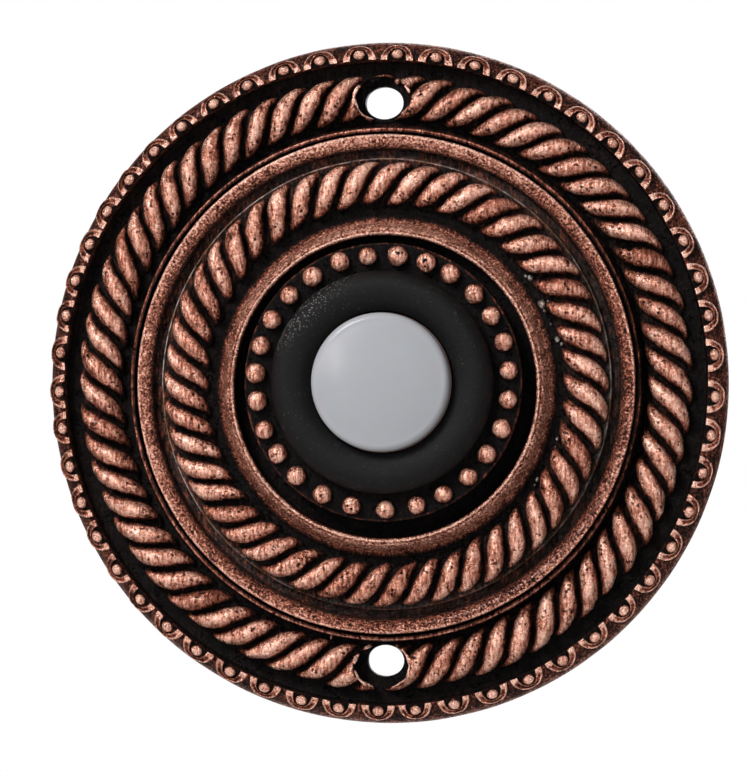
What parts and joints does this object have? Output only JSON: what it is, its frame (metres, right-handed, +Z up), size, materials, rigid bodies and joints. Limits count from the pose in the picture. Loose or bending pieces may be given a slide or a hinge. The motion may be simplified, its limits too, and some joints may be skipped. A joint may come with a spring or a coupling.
{
  "type": "doorbell push button",
  "caption": "Round doorbell push button: antiqued copper plate with a beaded rim, carved rope rings and a bead bezel, black collar and a sprung white cap.",
  "frame": {"origin": "centre of the plate's back face, on the wall, half-way between the two wall screws", "axes": "+Z up, +X right as seen from the front, +Y into the wall, so the front faces -Y"},
  "size_m": [0.0762, 0.0235, 0.0762],
  "materials": {
    "aged_copper": "antiqued",
    "black_moulding": "matt",
    "white_cap": "satin",
    "insulator": "matt",
    "contact_metal": "satin",
    "plated_steel": "satin",
    "lamp_lens": "gloss"
  },
  "bodies": {
    "plate": {"base_plate": "aged_copper", "rosette": "aged_copper", "bead_bezel": "aged_copper", "switch_housing": "black_moulding", "contact_strip_left": "contact_metal", "contact_strip_right": "contact_metal", "contact_rivet_left": "plated_steel", "contact_rivet_right": "plated_steel", "terminal_base": "insulator", "terminal_washer_left": "plated_steel", "terminal_washer_right": "plated_steel", "terminal_screw_left": "contact_metal", "terminal_screw_right": "contact_metal", "lamp": "lamp_lens", "lamp_resistor": "insulator", "lock_washer": "plated_steel", "retaining_nut": "plated_steel"},
    "button": {"push_button": "white_cap", "return_spring": "plated_steel", "contact_disc": "contact_metal", "disc_screw": "plated_steel"}
  },
  "joints": [
    {"name": "button_press", "type": "slide", "parent": "plate", "child": "button", "axis": [0, 1, 0], "range_m": [0, 0.0014], "stiffness_N_per_m": 450, "springref_m": -0.003, "deforming": ["return_spring"]}
  ]
}
